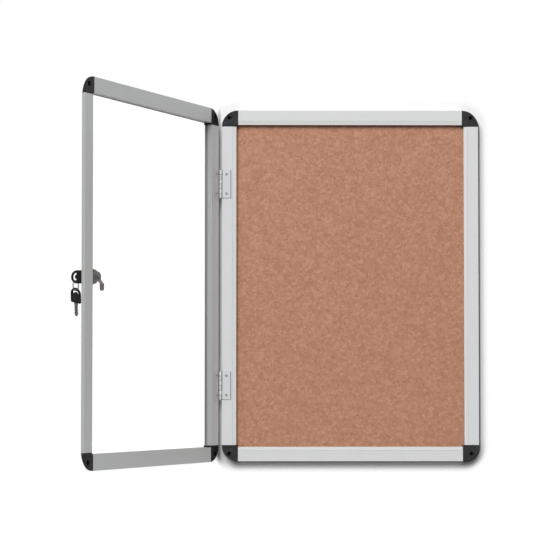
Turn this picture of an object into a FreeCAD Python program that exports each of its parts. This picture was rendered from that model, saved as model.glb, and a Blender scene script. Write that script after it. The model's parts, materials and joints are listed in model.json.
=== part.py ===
import FreeCAD, Part
import math
import os

V = FreeCAD.Vector

# A wall-hung notice board with a lockable glazed door, shown with the door open.
# Millimetres. +Z is up, the front faces -Y and the wall is the plane y = 0.
# The origin lies on the wall plane, in the middle of the four wall screw holes.

# Whole board
board_width = 496.0
board_height = 678.0
corner_size = 31.5          # radius of the quarter-round corner pieces

# Frame section, u inward from the outer edge, v from the front face to the wall
frame_depth = 24.0
flat_width = 21.0           # flat part of the front face
lip_width = 7.0             # slanted lip inside the flat part
lip_drop = 1.8
lip_thickness = 1.2
lip_groove_width = 0.8
lip_groove_depth = 0.5
frame_wall = 1.5
chamber_outside = 19.5      # width over the hollow chamber
flange_reach = 5.5          # flanges that hold the panel, from the chamber inward
flange_thickness = 1.2
edge_round = 1.0            # rounded long edges of both sections

# Panel behind the lip
recess_depth = 12.0         # from the front face to the cork
cork_thickness = 3.0
core_thickness = 5.0
back_thickness = 1.0
panel_side_clearance = 1.0
panel_groove_clearance = 0.2

# Wall fixing holes in the frame corners
fixing_inset = 14.5
fixing_hole_diameter = 5.5
fixing_recess_diameter = 9.0
fixing_recess_depth = 5.0
corner_pocket_wall = 2.5
corner_pocket_depth = 17.0
fixing_boss_diameter = 11.0
inner_bevel_width = 6.0
inner_bevel_depth = 2.5

# Lugs of the corner pieces inside the hollow sections
lug_length = 36.0
lug_taper_length = 3.0
lug_taper = 1.2
lug_clearance = 0.15

# Door section, u inward from the outer edge, w from the inner face outward
door_gap = 3.0              # closed gap between frame and door
door_face_width = 28.0
door_edge_thickness = 4.0
door_depth = 17.5
door_outer_flat = 6.5       # flat strip of the outer face beside the pane
door_bulge = 1.0            # crown of the slope between that strip and the thin outer edge
door_side_depth = 10.0      # inner side wall, down to the gasket
door_wall = 1.5
pane_pocket_reach = 5.5
door_lug_inset = 2.5

# Glazing
gasket_thickness = 3.0
gasket_overhang = 0.4
pane_thickness = 3.0
pane_side_clearance = 1.0
pane_groove_clearance = 0.1

# Hinges
hinge_length = 55.0
hinge_from_top = 143.0
hinge_from_bottom = 146.0
pin_outside_edge = 3.0
pin_diameter = 3.0
pin_overhang = 1.2
pin_chamfer = 0.4
pin_fit = 0.05
knuckle_diameter = 6.0
knuckle_count = 6
knuckle_gap = 0.3
knuckle_side_clearance = 0.35
leaf_reach = 21.0
leaf_thickness = 1.2
screw_spacing = 37.5
screw_from_pin = 12.0
screw_diameter = 2.9
screw_head_diameter = 5.4
screw_head_depth = 1.0
screw_length = 7.0
screw_clearance = 0.05
screw_hole_spare_depth = 1.0
screw_slot_width = 0.9
screw_slot_length = 3.2
screw_slot_depth = 0.6

# Lock, through the pane beside the free stile
lock_from_edge = 46.5
lock_below_centre = 5.0
lock_head_diameter = 22.0
lock_head_height = 5.0
lock_head_round = 1.2
lock_barrel_diameter = 18.0
lock_barrel_length = 16.0
lock_hole_clearance = 0.25
outer_washer_diameter = 24.0
outer_washer_thickness = 0.8
inner_washer_diameter = 28.0
inner_washer_thickness = 1.2
nut_across_flats = 24.0
nut_thickness = 4.0
nut_chamfer = 0.7
thread_clearance = 0.05
plug_diameter = 12.0
plug_fit = 0.05
plug_tail_size = 7.0
plug_end_gap = 0.2
cam_thickness = 1.6
cam_hub_radius = 7.5
cam_tip_width = 11.0
cam_tip_round = 4.0
cam_overlap = 6.5           # how far the locked cam reaches behind the frame's lip
cam_lip_clearance = 0.4
cam_crank_start = 4.5
cam_crank_end = 12.5
cam_hole_clearance = 0.1
cam_screw_head_diameter = 8.0
cam_screw_head_height = 2.0
cam_screw_head_round = 0.7
cam_screw_diameter = 3.5
cam_screw_web = 0.6         # metal left between the screw's hole and the keyway

# Keys
bow_width = 23.0
bow_length = 27.0
bow_thickness = 3.2
bow_edge_round = 0.8
bow_neck = 5.5              # bare blade between lock head and bow
blade_length = 24.0
blade_width = 8.0
blade_thickness = 2.0
blade_tail = 7.0            # part of the blade held inside the bow
blade_tip_length = 5.0
blade_tip_width = 3.0
blade_cut_count = 4
blade_cut_depth = 1.1
blade_cut_pitch = 3.6
blade_first_cut = 5.5
blade_cut_floor = 1.2       # flat bottom of each cut
blade_last_flat = 0.5       # shortest flat between the last cut and the tip
keyway_clearance = 0.15
keyway_end_clearance = 0.5
blade_fit = 0.02
bow_slot_radius = 5.9       # crescent slot, about the centre of the bow's round end
bow_slot_width = 4.0
bow_slot_half_angle = 65.0

# Key ring
ring_radius = 9.0
ring_wire_diameter = 1.5
ring_clearance = 0.5
hanging_clearance = 1.2     # room over the wire in the hanging key's slot, for its slant

# Slant of the hanging key, in degrees about the lowest point of the ring
spare_key_outward = 12.0    # its tip away from the pane
spare_key_aside = 14.0      # its tip towards the hinges
spare_key_turn = 15.0       # its flat sides about the upright axis

# Door opening in the modelled pose, from closed
door_open_angle = 116.2

# Places worked out from the sizes above
half_width = board_width / 2
half_height = board_height / 2
frame_front = -frame_depth
door_inner = frame_front - door_gap
frame_face_width = flat_width + lip_width
groove_height = cork_thickness + core_thickness + back_thickness + panel_groove_clearance
panel_edge = chamber_outside + panel_side_clearance
pin_x = -half_width - pin_outside_edge
pin_y = frame_front - door_gap / 2
pane_inner = door_side_depth + gasket_thickness
pane_outer = pane_inner + pane_thickness
pane_pocket = door_face_width - pane_pocket_reach
pane_edge = pane_pocket + pane_side_clearance
lock_x = half_width - lock_from_edge
lock_z = -lock_below_centre
head_base = pane_outer + outer_washer_thickness
head_face = head_base + lock_head_height
barrel_end = head_base - lock_barrel_length
bow_start = head_face + bow_neck
bow_end = bow_start + bow_length
bow_centre = bow_end - bow_width / 2
plug_end = barrel_end - plug_end_gap
cam_back = plug_end - cam_thickness
keyway_end = bow_start - blade_length - keyway_end_clearance
cam_screw_reach = keyway_end - cam_screw_web - cam_back
cam_reach = lock_from_edge - frame_face_width + cam_overlap
cam_tip_face = -(door_gap + lip_drop + lip_thickness + cam_lip_clearance)

UP = V(0, 0, 1)
RIGHT = V(1, 0, 0)
BACK = V(0, 1, 0)
OUT = V(0, -1, 0)


def line(a, b):
    return Part.LineSegment(V(a[0], a[1], 0), V(b[0], b[1], 0)).toShape()


def arc(a, middle, b):
    return Part.Arc(V(a[0], a[1], 0), V(middle[0], middle[1], 0), V(b[0], b[1], 0)).toShape()


def polygon(points):
    """Flat face through the points, in the local xy plane."""
    closed = points + points[:1]
    return Part.Face(Part.Wire([line(a, b) for a, b in zip(closed, closed[1:])]))


def place(shape, origin, x_axis, y_axis):
    """Carry a shape from local axes to the board: local x and y go along the two given axes."""
    z_axis = x_axis.cross(y_axis)
    matrix = FreeCAD.Matrix(
        x_axis.x, y_axis.x, z_axis.x, origin.x,
        x_axis.y, y_axis.y, z_axis.y, origin.y,
        x_axis.z, y_axis.z, z_axis.z, origin.z,
        0, 0, 0, 1)
    moved = shape.copy()
    moved.Placement = FreeCAD.Placement(matrix).multiply(moved.Placement)
    return moved


def bar(face, length):
    """Extrude a section both ways from its plane."""
    solid = face.extrude(V(0, 0, length))
    solid.translate(V(0, 0, -length / 2))
    return solid


def box(x0, x1, y0, y1, z0, z1):
    return Part.makeBox(x1 - x0, y1 - y0, z1 - z0, V(x0, y0, z0))


def circular_edges(shape, low=-math.inf, high=math.inf):
    """Circular edges of a shape that lie between two heights."""
    return [edge for edge in shape.Edges if isinstance(edge.Curve, Part.Circle)
            and edge.BoundBox.ZMin > low and edge.BoundBox.ZMax < high]


def rounded_corner(corner, before, after, radius):
    """Points of an arc that rounds a square corner: start, middle and end."""
    start = (corner[0] + before[0] * radius, corner[1] + before[1] * radius)
    end = (corner[0] + after[0] * radius, corner[1] + after[1] * radius)
    centre = (start[0] + after[0] * radius, start[1] + after[1] * radius)
    pull = radius * math.sqrt(0.5)
    middle = (centre[0] - (before[0] + after[0]) * pull, centre[1] - (before[1] + after[1]) * pull)
    return start, middle, end


def frame_section():
    """Hollow section with a flat face, a slanted lip and two flanges that hold the panel."""
    start, middle, end = rounded_corner((0, 0), (0, 1), (1, 0), edge_round)
    slope = lip_drop / lip_width
    half_groove = lip_groove_width / 2
    front_flange = recess_depth - flange_thickness
    rear_flange = recess_depth + groove_height
    flange_end = chamber_outside + flange_reach
    points = [
        end,
        (flat_width - half_groove, 0),
        (flat_width, lip_groove_depth),
        (flat_width + half_groove, slope * half_groove),
        (frame_face_width, lip_drop),
        (frame_face_width, lip_drop + lip_thickness),
        (flat_width, frame_wall),
        (chamber_outside, frame_wall),
        (chamber_outside, front_flange),
        (flange_end, front_flange),
        (flange_end, recess_depth),
        (chamber_outside, recess_depth),
        (chamber_outside, rear_flange),
        (flange_end, rear_flange),
        (flange_end, rear_flange + flange_thickness),
        (chamber_outside, rear_flange + flange_thickness),
        (chamber_outside, frame_depth),
        (0, frame_depth),
        start,
    ]
    edges = [arc(start, middle, end)] + [line(a, b) for a, b in zip(points, points[1:])]
    outline = Part.Face(Part.Wire(edges))
    chamber = polygon([
        (frame_wall, frame_wall),
        (chamber_outside - frame_wall, frame_wall),
        (chamber_outside - frame_wall, frame_depth - frame_wall),
        (frame_wall, frame_depth - frame_wall),
    ])
    return outline.cut(chamber).Faces[0]


def door_chord(u):
    """Height of the straight line under the crowned outer face, at a distance from the edge."""
    rise = (door_depth - door_edge_thickness) / (door_face_width - door_outer_flat)
    return door_edge_thickness + rise * u


def door_outer_arc():
    """Start, middle and end of the crowned slope of the outer face."""
    run = door_face_width - door_outer_flat
    rise = door_depth - door_edge_thickness
    chord = math.hypot(run, rise)
    middle = (run / 2 - door_bulge * rise / chord,
              (door_edge_thickness + door_depth) / 2 + door_bulge * run / chord)
    return (run, door_depth), middle, (0, door_edge_thickness)


def door_chamber_points():
    """Corners of the hollow inside the door section."""
    inner = door_face_width - door_wall
    step = pane_pocket - door_wall
    return [
        (door_wall, door_wall),
        (inner, door_wall),
        (inner, door_side_depth - door_wall),
        (step, door_side_depth - door_wall),
        (step, door_chord(step) - door_wall),
        (door_wall, door_chord(door_wall) - door_wall),
    ]


def door_section():
    """Hollow section with a flat inner face, a pocket for the pane and a crowned outer face."""
    start, middle, end = rounded_corner((0, 0), (0, 1), (1, 0), edge_round)
    pocket_end = pane_outer + pane_groove_clearance
    points = [
        end,
        (door_face_width, 0),
        (door_face_width, door_side_depth),
        (pane_pocket, door_side_depth),
        (pane_pocket, pocket_end),
        (door_face_width, pocket_end),
        (door_face_width, door_depth),
    ]
    crown = door_outer_arc()
    points.append(crown[0])
    edges = [arc(start, middle, end)] + [line(a, b) for a, b in zip(points, points[1:])]
    edges += [arc(*crown), line(crown[2], start)]
    return Part.Face(Part.Wire(edges)).cut(polygon(door_chamber_points())).Faces[0]


def screw():
    """Countersunk screw with its head's face at z = 0 and its shank along -z."""
    head = Part.makeCone(screw_diameter / 2, screw_head_diameter / 2, screw_head_depth,
                         V(0, 0, -screw_head_depth))
    shank = Part.makeCylinder(screw_diameter / 2, screw_length, V(0, 0, -screw_length))
    solid = head.fuse(shank).removeSplitter()
    half_width_of_slot = screw_slot_width / 2
    half_length = screw_slot_length / 2
    for long_x, long_y in ((half_length, half_width_of_slot), (half_width_of_slot, half_length)):
        solid = solid.cut(box(-long_x, long_x, -long_y, long_y, -screw_slot_depth, 1))
    return solid


def screw_hole():
    """Room for the countersunk screw, a little larger all round."""
    room = screw_clearance
    head = Part.makeCone(screw_diameter / 2 + room, screw_head_diameter / 2 + room,
                         screw_head_depth, V(0, 0, -screw_head_depth))
    depth = screw_length + screw_hole_spare_depth
    shank = Part.makeCylinder(screw_diameter / 2 + room, depth, V(0, 0, -depth))
    return head.fuse(shank)


hinge_heights = {
    "upper": half_height - hinge_from_top,
    "lower": -half_height + hinge_from_bottom,
}


def hinge_screw_places(outward):
    """Where the screws of one side's leaves sit: on the leaf's face, pointing into the section."""
    face_y = frame_front - leaf_thickness if outward else door_inner + leaf_thickness
    return [V(pin_x + screw_from_pin, face_y, height + side * screw_spacing / 2)
            for height in hinge_heights.values() for side in (1, -1)]


def hinge_screw_shapes(maker, outward):
    """One screw or hole per place, turned so that the shank runs into the section behind."""
    x_axis, y_axis = (RIGHT, UP) if outward else (UP, RIGHT)
    return [place(maker(), where, x_axis, y_axis) for where in hinge_screw_places(outward)]


frame_screw_holes = Part.makeCompound(hinge_screw_shapes(screw_hole, True))
door_screw_holes = Part.makeCompound(hinge_screw_shapes(screw_hole, False))

# Outer edge, inward direction and length of the four members of a rectangular frame
sides = {
    "left": (V(-half_width, 0, 0), RIGHT, board_height - 2 * corner_size),
    "right": (V(half_width, 0, 0), RIGHT * -1, board_height - 2 * corner_size),
    "top": (V(0, 0, half_height), UP * -1, board_width - 2 * corner_size),
    "bottom": (V(0, 0, -half_height), UP, board_width - 2 * corner_size),
}

corners = {
    "top_left": (-1, 1),
    "top_right": (1, 1),
    "bottom_left": (-1, -1),
    "bottom_right": (1, -1),
}


def member(section, side, face_y, depth_axis):
    edge, inward, length = sides[side]
    return place(bar(section, length), edge + V(0, face_y, 0), inward, depth_axis)


def frame_members():
    section = frame_section()
    members = {"frame_" + side: member(section, side, frame_front, BACK) for side in sides}
    members["frame_left"] = members["frame_left"].cut(frame_screw_holes)
    return members


def door_members():
    section = door_section()
    members = {"door_" + side: member(section, side, door_inner, OUT) for side in sides}
    members["door_left"] = members["door_left"].cut(door_screw_holes)
    return members


def tapered_lug(face, shrink_face):
    """Lug that starts at z = 0 and narrows at its tip."""
    body = face.extrude(V(0, 0, lug_length - lug_taper_length))
    base = face.OuterWire.copy()
    base.translate(V(0, 0, lug_length - lug_taper_length))
    tip = shrink_face.OuterWire.copy()
    tip.translate(V(0, 0, lug_length))
    return body.fuse(Part.makeLoft([base, tip], True, True)).removeSplitter()


def rectangle(u0, u1, v0, v1):
    return polygon([(u0, v0), (u1, v0), (u1, v1), (u0, v1)])


def frame_lug():
    inset = frame_wall + lug_clearance
    u1 = chamber_outside - inset
    v1 = frame_depth - inset
    return tapered_lug(
        rectangle(inset, u1, inset, v1),
        rectangle(inset + lug_taper, u1 - lug_taper, inset + lug_taper, v1 - lug_taper))


def door_lug():
    """Wedge that follows the chamber under the sloping outer face."""
    low = door_wall + lug_clearance
    u0 = door_wall + door_lug_inset
    u1 = pane_pocket - door_wall - lug_clearance

    def wedge(step):
        return polygon([
            (u0 + step, low + step / 2), (u1 - step, low + step / 2),
            (u1 - step, door_chord(u1 - step) - low - step / 2),
            (u0 + step, door_chord(u0 + step) - low - step / 2)])

    return tapered_lug(wedge(0), wedge(lug_taper))


def two_lugs(lug):
    """A lug along each leg of a corner drawn in local axes: a, b inward and c in depth."""
    along_b = place(lug, V(0, corner_size, 0), RIGHT, V(0, 0, 1))
    along_b = along_b.mirror(V(0, corner_size, 0), V(0, 1, 0))
    along_a = along_b.mirror(V(0, 0, 0), V(1, -1, 0))
    return [along_a, along_b]


def quarter_disc(radius, depth):
    """Quarter disc about the corner's inner point, in local axes."""
    centre = V(corner_size, corner_size, 0)
    disc = Part.makeCylinder(radius, depth, centre, V(0, 0, 1), 90)
    disc.rotate(centre, V(0, 0, 1), 180)
    return disc


def inner_bevel(depth):
    """Sloping cut across the inner point of a corner piece, deepest at the point itself."""
    reach = inner_bevel_width
    top = corner_size
    wedge = Part.makePolygon([V(top - reach, top, 0), V(top, top - reach, 0), V(top, top, 0),
                              V(top - reach, top, 0)])
    solid = Part.makeLoft([wedge, Part.Vertex(V(top, top, depth))], True, True)
    return solid


def frame_corner():
    """Moulded frame corner in local axes, its front face at c = 0."""
    depth = frame_depth
    body = quarter_disc(corner_size, depth)
    body = body.makeFillet(edge_round, circular_edges(body, high=edge_round))
    pocket = quarter_disc(corner_size - corner_pocket_wall, corner_pocket_depth)
    pocket.translate(V(0, 0, depth - corner_pocket_depth))
    pocket = pocket.common(box(0, chamber_outside - corner_pocket_wall,
                               0, chamber_outside - corner_pocket_wall, 0, depth))
    hole_place = V(fixing_inset, fixing_inset, 0)
    boss = Part.makeCylinder(fixing_boss_diameter / 2, depth, hole_place)
    body = body.cut(pocket.cut(boss))
    for lug in two_lugs(frame_lug()):
        body = body.fuse(lug)
    panel_room = box(panel_edge - lug_clearance, corner_size + lug_length,
                     panel_edge - lug_clearance, corner_size + lug_length,
                     recess_depth, depth)
    body = body.cut(panel_room)
    body = body.cut(Part.makeCylinder(fixing_hole_diameter / 2, depth, hole_place))
    body = body.cut(Part.makeCylinder(fixing_recess_diameter / 2, fixing_recess_depth, hole_place))
    return body.cut(inner_bevel(inner_bevel_depth)).removeSplitter()


def door_corner():
    """Moulded door corner in local axes, its inner face at c = 0, turned about its inner point."""
    (u_top, w_top), middle, (u_edge, w_edge) = door_outer_arc()
    radius = corner_size
    start, round_middle, end = rounded_corner((0, 0), (0, 1), (1, 0), edge_round)
    edges = [
        arc(start, round_middle, end),
        line(end, (radius, 0)),
        line((radius, 0), (radius, w_top)),
        line((radius, w_top), (u_top, w_top)),
        arc((u_top, w_top), middle, (u_edge, w_edge)),
        line((u_edge, w_edge), start),
    ]
    section = Part.Face(Part.Wire(edges))
    section = place(section, V(0, corner_size, 0), RIGHT, V(0, 0, 1))
    centre = V(corner_size, corner_size, 0)
    body = section.revolve(centre, V(0, 0, 1), 90)
    for lug in two_lugs(door_lug()):
        body = body.fuse(lug)
    pane_room = box(pane_edge - pane_groove_clearance, corner_size + lug_length,
                    pane_edge - pane_groove_clearance, corner_size + lug_length,
                    pane_inner, pane_outer + pane_groove_clearance)
    body = body.cut(pane_room)
    recess = Part.makeCylinder(fixing_recess_diameter / 2, fixing_recess_depth,
                               V(fixing_inset, fixing_inset, 0))
    return body.cut(recess).cut(inner_bevel(inner_bevel_depth)).removeSplitter()


def corner_pieces(prefix, corner, face_y, first_side):
    """The same moulding at the four corners: placed at one upper corner, then mirrored."""
    first = place(corner, V(first_side * half_width, face_y, half_height), RIGHT * -first_side, UP * -1)
    centre = V(0, 0, 0)
    pieces = {}
    for name, (side_x, side_z) in corners.items():
        piece = first if side_x == first_side else first.mirror(centre, RIGHT)
        if side_z < 0:
            piece = piece.mirror(centre, UP)
        pieces[prefix + "_corner_" + name] = piece
    return pieces


def panel_pieces():
    """Cork, core and back sheet, one behind the other in the frame's groove."""
    half_x = half_width - panel_edge
    half_z = half_height - panel_edge
    pieces = {}
    front = frame_front + recess_depth
    for name, thickness in (("cork_sheet", cork_thickness), ("core_board", core_thickness),
                            ("back_sheet", back_thickness)):
        pieces[name] = box(-half_x, half_x, front, front + thickness, -half_z, half_z)
        front += thickness
    return pieces


def knuckle_spans():
    """Bottom and top of each knuckle, from the bottom of the hinge upward."""
    pitch = hinge_length / knuckle_count
    spans = []
    for index in range(knuckle_count):
        low = index * pitch + (knuckle_gap / 2 if index else 0)
        high = (index + 1) * pitch - (knuckle_gap / 2 if index < knuckle_count - 1 else 0)
        spans.append((low - hinge_length / 2, high - hinge_length / 2))
    return spans


def hinge_leaf(outward, height, holes):
    """Leaf with its own knuckles, cut away round the other leaf's knuckles."""
    near = frame_front if outward else door_inner
    far = near - leaf_thickness if outward else near + leaf_thickness
    leaf = box(pin_x, pin_x + leaf_reach, min(near, far), max(near, far),
               -hinge_length / 2, hinge_length / 2)
    room = knuckle_diameter / 2 + knuckle_side_clearance
    for index, (low, high) in enumerate(knuckle_spans()):
        own = (index % 2 == 0) == outward
        if own:
            knuckle = Part.makeCylinder(knuckle_diameter / 2, high - low, V(pin_x, pin_y, low))
            leaf = leaf.fuse(knuckle)
        else:
            gap = Part.makeCylinder(room, high - low + 2 * knuckle_gap,
                                    V(pin_x, pin_y, low - knuckle_gap))
            leaf = leaf.cut(gap)
    bore = Part.makeCylinder(pin_diameter / 2 + pin_fit, hinge_length, V(pin_x, pin_y, -hinge_length / 2))
    leaf = leaf.cut(bore)
    leaf.translate(V(0, 0, height))
    return leaf.cut(holes).removeSplitter()


def hinge_pin(height):
    length = hinge_length + 2 * pin_overhang
    pin = Part.makeCylinder(pin_diameter / 2, length, V(pin_x, pin_y, height - length / 2))
    return pin.makeChamfer(pin_chamfer, circular_edges(pin))


def pane():
    """Clear sheet with the hole for the lock barrel."""
    half_x = half_width - pane_edge
    half_z = half_height - pane_edge
    sheet = box(-half_x, half_x, door_inner - pane_outer, door_inner - pane_inner, -half_z, half_z)
    hole = Part.makeCylinder(lock_barrel_diameter / 2 + lock_hole_clearance, pane_outer,
                             V(lock_x, door_inner, lock_z), OUT)
    return sheet.cut(hole)


def gaskets():
    """Rubber strips between the section's ledge and the pane, one along each side."""
    u0 = pane_edge
    u1 = door_face_width + gasket_overhang
    section = rectangle(u0, u1, door_side_depth, pane_inner)
    return {"gasket_" + side: member(section, side, door_inner, OUT) for side in sides}


def lock_axis_shape(shape):
    """Carry a shape drawn about +z, with z as the height over the door's inner face."""
    return place(shape, V(lock_x, door_inner, lock_z), RIGHT, UP)


def tube(outer, inner, low, high):
    solid = Part.makeCylinder(outer, high - low, V(0, 0, low))
    return solid.cut(Part.makeCylinder(inner, high - low, V(0, 0, low)))


def lock_body():
    """Round head outside the pane and threaded barrel through it, bored for the plug."""
    head = Part.makeCylinder(lock_head_diameter / 2, lock_head_height, V(0, 0, head_base))
    head = head.makeFillet(lock_head_round, circular_edges(head, low=head_base))
    barrel = Part.makeCylinder(lock_barrel_diameter / 2, lock_barrel_length, V(0, 0, barrel_end))
    bore = Part.makeCylinder(plug_diameter / 2 + plug_fit, head_face - barrel_end, V(0, 0, barrel_end))
    return head.fuse(barrel).cut(bore).removeSplitter()


def hexagon(across_flats, low, high):
    radius = across_flats / 2 / math.cos(math.pi / 6)
    points = [(radius * math.cos(math.radians(60 * k)), radius * math.sin(math.radians(60 * k)))
              for k in range(6)]
    solid = polygon(points).extrude(V(0, 0, high - low))
    solid.translate(V(0, 0, low))
    return solid


def lock_nut(top):
    """Hexagon nut with its corners turned off."""
    low = top - nut_thickness
    outside = Part.makeCylinder(nut_across_flats / 2 / math.cos(math.pi / 6), nut_thickness, V(0, 0, low))
    outside = outside.makeChamfer(nut_chamfer, circular_edges(outside))
    hole = Part.makeCylinder(lock_barrel_diameter / 2 + thread_clearance, nut_thickness, V(0, 0, low))
    return hexagon(nut_across_flats, low, top).common(outside).cut(hole)


def lock_plug():
    """Turning plug with its keyway and the square tail that carries the cam."""
    plug = Part.makeCylinder(plug_diameter / 2, head_face - plug_end, V(0, 0, plug_end))
    half = plug_tail_size / 2
    tail = box(-half, half, -half, half, cam_back, plug_end)
    keyway = box(-blade_thickness / 2 - keyway_clearance, blade_thickness / 2 + keyway_clearance,
                 -blade_width / 2 - keyway_clearance, blade_width / 2 + keyway_clearance,
                 keyway_end, head_face)
    thread = Part.makeCylinder(cam_screw_diameter / 2 + thread_clearance, cam_screw_reach,
                               V(0, 0, cam_back))
    return plug.fuse(tail).cut(keyway).cut(thread)


def lock_cam():
    """Cranked plate that points down when unlocked; drawn with its length along -y."""
    near = plug_end
    far = cam_back
    tip_near = cam_tip_face
    points = [
        (cam_hub_radius, near), (-cam_crank_start, near), (-cam_crank_end, tip_near),
        (-cam_reach, tip_near), (-cam_reach, tip_near - cam_thickness),
        (-cam_crank_end - cam_thickness / 2, tip_near - cam_thickness),
        (-cam_crank_start - cam_thickness / 2, far), (cam_hub_radius, far),
    ]
    side_view = polygon(points).extrude(V(0, 0, 2 * cam_hub_radius))
    plate = place(side_view, V(-cam_hub_radius, 0, 0), V(0, 1, 0), V(0, 0, 1))
    height = near - tip_near + 2 * cam_thickness
    low = tip_near - 1.5 * cam_thickness
    hub = Part.makeCylinder(cam_hub_radius, height, V(0, 0, low))
    half_tip = cam_tip_width / 2
    arm = polygon([(-cam_hub_radius, 0), (-half_tip, -cam_reach),
                   (half_tip, -cam_reach), (cam_hub_radius, 0)]).extrude(V(0, 0, height))
    tip_corners = [e for e in arm.Edges if e.BoundBox.YMax < -cam_reach / 2 and e.BoundBox.ZLength > 1]
    arm = arm.makeFillet(cam_tip_round, tip_corners)
    arm.translate(V(0, 0, low))
    plate = plate.common(hub.fuse(arm))
    half_hole = plug_tail_size / 2 + cam_hole_clearance
    return plate.cut(box(-half_hole, half_hole, -half_hole, half_hole, far, near)).removeSplitter()


def cam_screw():
    """Pan-head screw that holds the cam on the plug's tail."""
    seat = cam_back
    head = Part.makeCylinder(cam_screw_head_diameter / 2, cam_screw_head_height,
                             V(0, 0, seat - cam_screw_head_height))
    head = head.makeFillet(cam_screw_head_round, circular_edges(head, high=seat - cam_screw_head_round))
    shank = Part.makeCylinder(cam_screw_diameter / 2, cam_screw_reach, V(0, 0, seat))
    slot_top = seat - cam_screw_head_height + screw_slot_depth
    solid = head.fuse(shank)
    for half_x, half_y in ((screw_slot_length / 2, screw_slot_width / 2),
                           (screw_slot_width / 2, screw_slot_length / 2)):
        solid = solid.cut(box(-half_x, half_x, -half_y, half_y,
                              seat - cam_screw_head_height, slot_top))
    return solid


def blade_outline():
    """Half outline of a key blade, from the tail inside the bow to the tip; y is the half width."""
    half = blade_width / 2
    points = [(-blade_tail, half), (blade_first_cut - blade_cut_pitch / 2, half)]
    for index in range(blade_cut_count):
        centre = blade_first_cut + index * blade_cut_pitch
        flat = blade_cut_floor / 2
        slope_end = centre + blade_cut_pitch / 2
        points += [(centre - flat, half - blade_cut_depth), (centre + flat, half - blade_cut_depth),
                   (slope_end, half)]
    points += [(max(blade_length - blade_tip_length, points[-1][0] + blade_last_flat), half),
               (blade_length, blade_tip_width / 2)]
    return points


def key_blade():
    """Blade lying along +x from the bow's edge, cut alike on both edges."""
    upper = blade_outline()
    lower = [(x, -y) for x, y in reversed(upper)]
    blade = polygon(upper + lower).extrude(V(0, 0, blade_thickness))
    blade.translate(V(0, 0, -blade_thickness / 2))
    return blade


def key_bow():
    """Moulded bow with one round end and a crescent slot, lying along -x from the blade."""
    half = bow_width / 2
    centre_x = -(bow_length - half)
    outline = Part.Wire([
        line((0, -half), (0, half)),
        line((0, half), (centre_x, half)),
        arc((centre_x, half), (-bow_length, 0), (centre_x, -half)),
        line((centre_x, -half), (0, -half)),
    ])
    bow = Part.Face(outline).extrude(V(0, 0, bow_thickness))
    bow.translate(V(0, 0, -bow_thickness / 2))
    bow = bow.makeFillet(bow_edge_round, [e for e in bow.Edges if e.BoundBox.ZLength < 1e-6])
    inner = bow_slot_radius - bow_slot_width / 2
    outer = bow_slot_radius + bow_slot_width / 2
    centre = V(centre_x, 0, -bow_thickness)
    height = 2 * bow_thickness
    slot = Part.makeCylinder(outer, height, centre, V(0, 0, 1), 2 * bow_slot_half_angle)
    slot = slot.cut(Part.makeCylinder(inner, height, centre))
    slot.rotate(centre, V(0, 0, 1), 180 - bow_slot_half_angle)
    for side in (1, -1):
        angle = math.radians(180 + side * bow_slot_half_angle)
        end = centre + V(math.cos(angle), math.sin(angle), 0) * bow_slot_radius
        slot = slot.fuse(Part.makeCylinder(bow_slot_width / 2, height, end))
    room = blade_fit
    tail_room = box(-blade_tail - room, 1, -blade_width / 2 - room, blade_width / 2 + room,
                    -blade_thickness / 2 - room, blade_thickness / 2 + room)
    return bow.cut(slot).cut(tail_room).removeSplitter()


def inserted_key(shape):
    """Carry a key part to the keyway: the blade points into the door and the flat stands upright."""
    turned = place(shape, V(0, 0, bow_start), V(0, 0, -1), V(0, 1, 0))
    return lock_axis_shape(turned)


# Lowest point of the crescent slot of the inserted key, where the ring's wire lies
slot_end_angle = math.radians(bow_slot_half_angle)
ring_plane = bow_centre + bow_slot_radius * math.cos(slot_end_angle)
slot_bottom = -bow_slot_radius * math.sin(slot_end_angle) - bow_slot_width / 2
ring_top = slot_bottom + ring_clearance + ring_wire_diameter / 2
ring_bottom = ring_top - 2 * ring_radius


def key_ring():
    ring = Part.makeTorus(ring_radius, ring_wire_diameter / 2, V(0, 0, 0), V(0, 0, 1))
    ring.translate(V(0, ring_top - ring_radius, ring_plane))
    return lock_axis_shape(ring)


def hanging_key(shape):
    """Carry a key part below the ring: slot's upper edge over the wire, blade down and slanted."""
    slot_top = bow_width / 2 - bow_slot_radius - bow_slot_width / 2
    bow_top = ring_bottom + ring_wire_diameter / 2 + hanging_clearance + slot_top
    turned = place(shape, V(0, bow_top - bow_length, ring_plane), V(0, -1, 0), V(0, 0, -1))
    for axis, angle in ((V(1, 0, 0), spare_key_outward), (V(0, 0, 1), spare_key_aside),
                        (V(0, 1, 0), spare_key_turn)):
        turned.rotate(V(0, ring_bottom, ring_plane), axis, -angle)
    return lock_axis_shape(turned)


def hang_open(shape):
    """Swing a piece of the door from closed to the modelled pose."""
    opened = shape.copy()
    opened.rotate(V(pin_x, pin_y, 0), UP, -door_open_angle)
    return opened


root_pieces = {}
root_pieces.update(frame_members())
root_pieces.update(corner_pieces("frame", frame_corner(), frame_front, -1))
root_pieces.update(panel_pieces())
for name, height in hinge_heights.items():
    root_pieces["frame_hinge_leaf_" + name] = hinge_leaf(True, height, frame_screw_holes)
    root_pieces["hinge_pin_" + name] = hinge_pin(height)
root_pieces["frame_hinge_screws"] = Part.makeCompound(hinge_screw_shapes(screw, True))

door_pieces = {}
door_pieces.update(door_members())
door_pieces.update(corner_pieces("door", door_corner(), door_inner, 1))
door_pieces["door_pane"] = pane()
door_pieces.update(gaskets())
for name, height in hinge_heights.items():
    door_pieces["door_hinge_leaf_" + name] = hinge_leaf(False, height, door_screw_holes)
door_pieces["door_hinge_screws"] = Part.makeCompound(hinge_screw_shapes(screw, False))

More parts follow.
